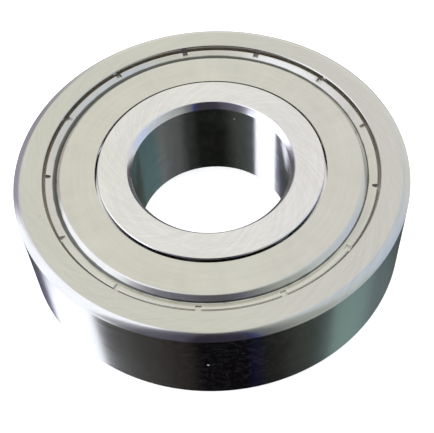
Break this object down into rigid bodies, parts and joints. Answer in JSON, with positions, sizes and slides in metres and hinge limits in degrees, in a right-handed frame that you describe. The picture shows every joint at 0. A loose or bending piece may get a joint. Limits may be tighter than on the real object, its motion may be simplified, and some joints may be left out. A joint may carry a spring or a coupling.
{
  "type": "ball bearing",
  "caption": "Deep-groove ball bearing with a slotted steel shield crimped into each side, its inner ring turning on caged balls.",
  "frame": {"origin": "centre of the bearing, on the bore's axis at mid-width", "axes": "+Z along the bore's axis; +X through the first ball at rest"},
  "size_m": [0.062, 0.062, 0.017],
  "materials": {
    "ring_steel": "ground bearing steel",
    "shield_steel": "pressed bright sheet steel",
    "ball_steel": "lapped to a mirror",
    "cage_steel": "pressed sheet steel, dull",
    "rivet_steel": "cold headed"
  },
  "bodies": {
    "outer_ring": {"outer_ring": "ring_steel", "upper_shield": "shield_steel", "lower_shield": "shield_steel"},
    "inner_ring": {"inner_ring": "ring_steel"},
    "cage": {"upper_cage_half": "cage_steel", "lower_cage_half": "cage_steel", "cage_rivet_1": "rivet_steel", "cage_rivet_2": "rivet_steel", "cage_rivet_3": "rivet_steel", "cage_rivet_4": "rivet_steel", "cage_rivet_5": "rivet_steel", "cage_rivet_6": "rivet_steel", "cage_rivet_7": "rivet_steel"},
    "ball_1": {"ball_1": "ball_steel"},
    "ball_2": {"ball_2": "ball_steel"},
    "ball_3": {"ball_3": "ball_steel"},
    "ball_4": {"ball_4": "ball_steel"},
    "ball_5": {"ball_5": "ball_steel"},
    "ball_6": {"ball_6": "ball_steel"},
    "ball_7": {"ball_7": "ball_steel"}
  },
  "joints": [
    {"name": "inner_ring_spin", "type": "hinge", "parent": "outer_ring", "child": "inner_ring", "pos_m": [0, 0, 0], "axis": [0, 0, 1], "continuous": true},
    {"name": "cage_spin", "type": "hinge", "parent": "outer_ring", "child": "cage", "pos_m": [0, 0, 0], "axis": [0, 0, 1], "continuous": true},
    {"name": "ball_1_spin", "type": "hinge", "parent": "cage", "child": "ball_1", "pos_m": [0.02175, 0, 0], "axis": [0, 0, 1], "continuous": true},
    {"name": "ball_2_spin", "type": "hinge", "parent": "cage", "child": "ball_2", "pos_m": [0.01356, 0.017, 0], "axis": [0, 0, 1], "continuous": true},
    {"name": "ball_3_spin", "type": "hinge", "parent": "cage", "child": "ball_3", "pos_m": [-0.00484, 0.0212, 0], "axis": [0, 0, 1], "continuous": true},
    {"name": "ball_4_spin", "type": "hinge", "parent": "cage", "child": "ball_4", "pos_m": [-0.0196, 0.00944, 0], "axis": [0, 0, 1], "continuous": true},
    {"name": "ball_5_spin", "type": "hinge", "parent": "cage", "child": "ball_5", "pos_m": [-0.0196, -0.00944, 0], "axis": [0, 0, 1], "continuous": true},
    {"name": "ball_6_spin", "type": "hinge", "parent": "cage", "child": "ball_6", "pos_m": [-0.00484, -0.0212, 0], "axis": [0, 0, 1], "continuous": true},
    {"name": "ball_7_spin", "type": "hinge", "parent": "cage", "child": "ball_7", "pos_m": [0.01356, -0.017, 0], "axis": [0, 0, 1], "continuous": true}
  ],
  "couplings": [
    {"joint": "cage_spin", "follows": "inner_ring_spin", "ratio": 0.36771},
    {"joint": "ball_1_spin", "follows": "inner_ring_spin", "ratio": -1.7575},
    {"joint": "ball_2_spin", "follows": "inner_ring_spin", "ratio": -1.7575},
    {"joint": "ball_3_spin", "follows": "inner_ring_spin", "ratio": -1.7575},
    {"joint": "ball_4_spin", "follows": "inner_ring_spin", "ratio": -1.7575},
    {"joint": "ball_5_spin", "follows": "inner_ring_spin", "ratio": -1.7575},
    {"joint": "ball_6_spin", "follows": "inner_ring_spin", "ratio": -1.7575},
    {"joint": "ball_7_spin", "follows": "inner_ring_spin", "ratio": -1.7575}
  ]
}
